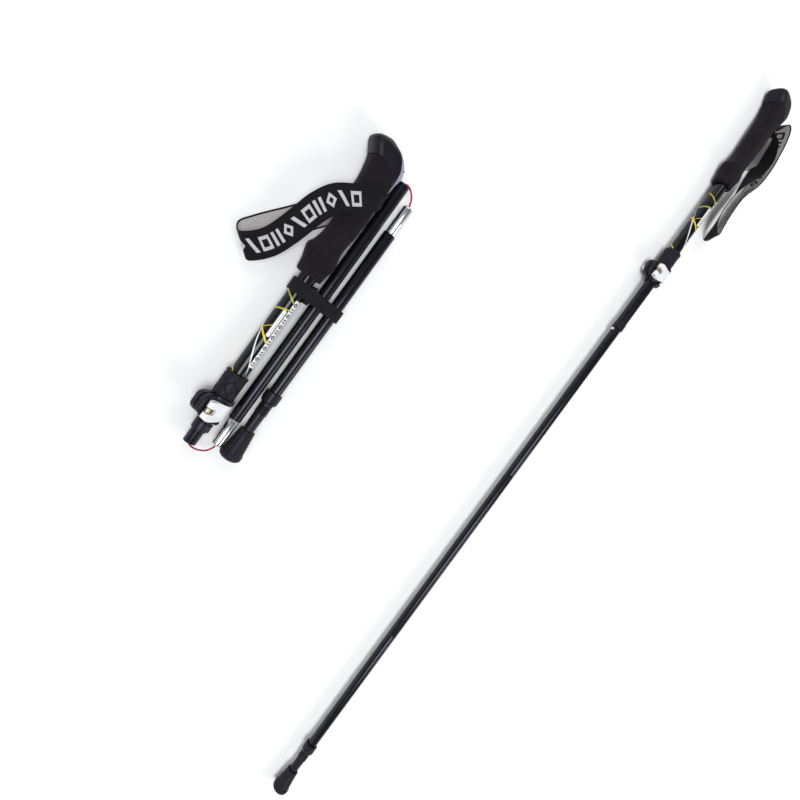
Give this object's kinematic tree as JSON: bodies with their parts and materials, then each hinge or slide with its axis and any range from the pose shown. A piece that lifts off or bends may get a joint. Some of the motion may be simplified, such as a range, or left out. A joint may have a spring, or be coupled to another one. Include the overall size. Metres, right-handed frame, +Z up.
{
  "type": "trekking poles",
  "caption": "Pair of folding trekking poles: one packed with its sections side by side under a band, one drawn out to walking length, each with foam grip, strap and lever clamp.",
  "frame": {"origin": "middle of the pair's bounding box, on the ground that both poles lie on", "axes": "+X along both poles towards the grips, +Y from the drawn-out pole to the folded one, +Z up from the ground"},
  "size_m": [1.2832, 0.5814, 0.0366],
  "materials": {
    "grip_foam": "matt EVA foam with a fine suede-like skin",
    "head_black": "satin moulded plastic",
    "insert_grey": "satin lavender-grey moulded plastic",
    "pin_dark": "dark moulded plastic",
    "webbing": "black woven webbing with a white woven pattern and a grey inner side",
    "upper_tube_print": "gloss black paint with a white, yellow and olive line print",
    "clamp_black": "black moulded plastic, light satin",
    "rubber_black": "black rubber with embossed lines",
    "bolt_bronze": "dull bronze-tinted metal",
    "nut_chrome": "polished nickel plate",
    "lever_white": "white moulded plastic",
    "tube_black": "black anodised tube with a soft gloss",
    "ferrule_aluminium": "polished bare aluminium",
    "spring_steel": "bright spring steel",
    "carbide_steel": "grey tungsten carbide",
    "cord_red": "braided crimson elastic cord with darker strands",
    "band_elastic": "black elastic band, ribbed weave"
  },
  "bodies": {
    "folded_handle": {"folded_grip_foam": "grip_foam", "folded_grip_head": "head_black", "folded_head_insert": "insert_grey", "folded_strap_pin": "pin_dark", "folded_wrist_strap": "webbing", "folded_upper_tube": "upper_tube_print", "folded_clamp_body": "clamp_black", "folded_clamp_sleeve": "rubber_black", "folded_clamp_bolt": "bolt_bronze", "folded_lever_pin": "bolt_bronze"},
    "folded_lever": {"folded_clamp_lever": "lever_white"},
    "folded_nut": {"folded_clamp_nut": "nut_chrome"},
    "folded_sleeve": {"folded_sleeve_tube": "tube_black", "folded_sleeve_collar": "clamp_black", "folded_cord_anchor": "clamp_black"},
    "folded_tension": {"folded_tension_tube": "tube_black", "folded_push_button": "nut_chrome", "folded_button_spring": "spring_steel"},
    "folded_cord_1": {"folded_cord_in_tension_tube": "cord_red"},
    "folded_link_1": {"folded_cord_link_ab": "cord_red"},
    "folded_section_b": {"folded_section_b_tube": "tube_black", "folded_section_b_ferrule": "ferrule_aluminium"},
    "folded_cord_2": {"folded_cord_in_b": "cord_red"},
    "folded_link_2": {"folded_cord_link_bc": "cord_red"},
    "folded_section_c": {"folded_section_c_tube": "tube_black", "folded_section_c_ferrule": "ferrule_aluminium", "folded_basket_collar": "clamp_black", "folded_tip_shaft": "clamp_black", "folded_carbide_tip": "carbide_steel", "folded_cord_in_c": "cord_red"},
    "folded_tip_cap": {"folded_tip_cap": "rubber_black"},
    "folded_band": {"folded_packing_band": "band_elastic"},
    "extended_handle": {"extended_grip_foam": "grip_foam", "extended_grip_head": "head_black", "extended_head_insert": "insert_grey", "extended_strap_pin": "pin_dark", "extended_wrist_strap": "webbing", "extended_upper_tube": "upper_tube_print", "extended_clamp_body": "clamp_black", "extended_clamp_sleeve": "rubber_black", "extended_clamp_bolt": "bolt_bronze", "extended_lever_pin": "bolt_bronze", "extended_strap_tail": "webbing"},
    "extended_lever": {"extended_clamp_lever": "lever_white"},
    "extended_nut": {"extended_clamp_nut": "nut_chrome"},
    "extended_lower": {"extended_sleeve_tube": "tube_black", "extended_sleeve_collar": "clamp_black", "extended_cord_anchor": "clamp_black", "extended_tension_tube": "tube_black", "extended_button_spring": "spring_steel", "extended_section_b_tube": "tube_black", "extended_section_b_ferrule": "ferrule_aluminium", "extended_section_c_tube": "tube_black", "extended_section_c_ferrule": "ferrule_aluminium", "extended_basket_collar": "clamp_black", "extended_tip_shaft": "clamp_black", "extended_carbide_tip": "carbide_steel", "extended_cord": "cord_red"},
    "extended_button": {"extended_push_button": "nut_chrome"},
    "extended_tip_cap": {"extended_tip_cap": "rubber_black"}
  },
  "joints": [
    {"name": "folded_lever_turn", "type": "hinge", "parent": "folded_handle", "child": "folded_lever", "pos_m": [-0.1674, 0.21938, 0.03335], "axis": [-1, 0, 0], "range_deg": [0, 110]},
    {"name": "folded_nut_turn", "type": "hinge", "parent": "folded_handle", "child": "folded_nut", "pos_m": [-0.1674, 0.22498, 0.02365], "axis": [0, -0.5, 0.866], "continuous": true},
    {"name": "extended_lever_turn", "type": "hinge", "parent": "extended_handle", "child": "extended_lever", "pos_m": [0.3216, -0.1977, 0.0262], "axis": [-1, 0, 0], "range_deg": [0, 110]},
    {"name": "extended_nut_turn", "type": "hinge", "parent": "extended_handle", "child": "extended_nut", "pos_m": [0.3216, -0.1977, 0.015], "axis": [0, 0, 1], "continuous": true},
    {"name": "folded_sleeve_slide", "type": "slide", "parent": "folded_handle", "child": "folded_sleeve", "axis": [-1, 0, 0], "range_m": [0, 0.12]},
    {"name": "folded_tension_slide", "type": "slide", "parent": "folded_sleeve", "child": "folded_tension", "axis": [-1, 0, 0], "range_m": [0, 0.255], "deforming": ["folded_button_spring"]},
    {"name": "folded_cord_1_pull", "type": "slide", "parent": "folded_tension", "child": "folded_cord_1", "axis": [1, 0, 0], "range_m": [0, 0.05987], "deforming": ["folded_cord_in_tension_tube"]},
    {"name": "folded_link_1_turn", "type": "hinge", "parent": "folded_cord_1", "child": "folded_link_1", "pos_m": [-0.21, 0.21, 0.015], "axis": [0, 0, -1], "range_deg": [0, 109.19], "deforming": ["folded_cord_link_ab", "folded_packing_band"]},
    {"name": "folded_b_turn", "type": "hinge", "parent": "folded_link_1", "child": "folded_section_b", "pos_m": [-0.2013, 0.185, 0.015], "axis": [0, 0, -1], "range_deg": [0, 70.86]},
    {"name": "folded_cord_2_pull", "type": "slide", "parent": "folded_section_b", "child": "folded_cord_2", "axis": [-1, 0, 0], "range_m": [0, 0.05729], "deforming": ["folded_cord_in_b", "folded_cord_in_c"]},
    {"name": "folded_link_2_turn", "type": "hinge", "parent": "folded_cord_2", "child": "folded_link_2", "pos_m": [0.1323, 0.185, 0.015], "axis": [0, 0, 1], "range_deg": [0, 122.22], "deforming": ["folded_cord_link_bc"]},
    {"name": "folded_c_turn", "type": "hinge", "parent": "folded_link_2", "child": "folded_section_c", "pos_m": [0.1202, 0.1658, 0.015], "axis": [0, 0, 1], "range_deg": [0, 57.83]},
    {"name": "folded_tip_cap_pull", "type": "slide", "parent": "folded_section_c", "child": "folded_tip_cap", "axis": [-1, 0, 0], "range_m": [0, 0.03]},
    {"name": "folded_band_slide", "type": "slide", "parent": "folded_handle", "child": "folded_band", "axis": [-1, 0, 0], "range_m": [-0.003, 0.06]},
    {"name": "extended_lift", "type": "slide", "parent": "folded_handle", "child": "extended_handle", "axis": [0, 0, 1], "range_m": [0, 0.25]},
    {"name": "extended_lower_slide", "type": "slide", "parent": "extended_handle", "child": "extended_lower", "axis": [-1, 0, 0], "range_m": [-0.068, 0.1]},
    {"name": "extended_button_press", "type": "slide", "parent": "extended_lower", "child": "extended_button", "axis": [0, -1, 0], "range_m": [0, 0.0028], "stiffness_N_per_m": 600, "springref_m": -0.002, "deforming": ["extended_button_spring"]},
    {"name": "extended_tip_cap_pull", "type": "slide", "parent": "extended_lower", "child": "extended_tip_cap", "axis": [-1, 0, 0], "range_m": [0, 0.03]}
  ],
  "couplings": [
    {"joint": "folded_b_turn", "follows": "folded_link_1_turn", "ratio": 0.64853},
    {"joint": "folded_c_turn", "follows": "folded_link_2_turn", "ratio": 0.47276}
  ]
}
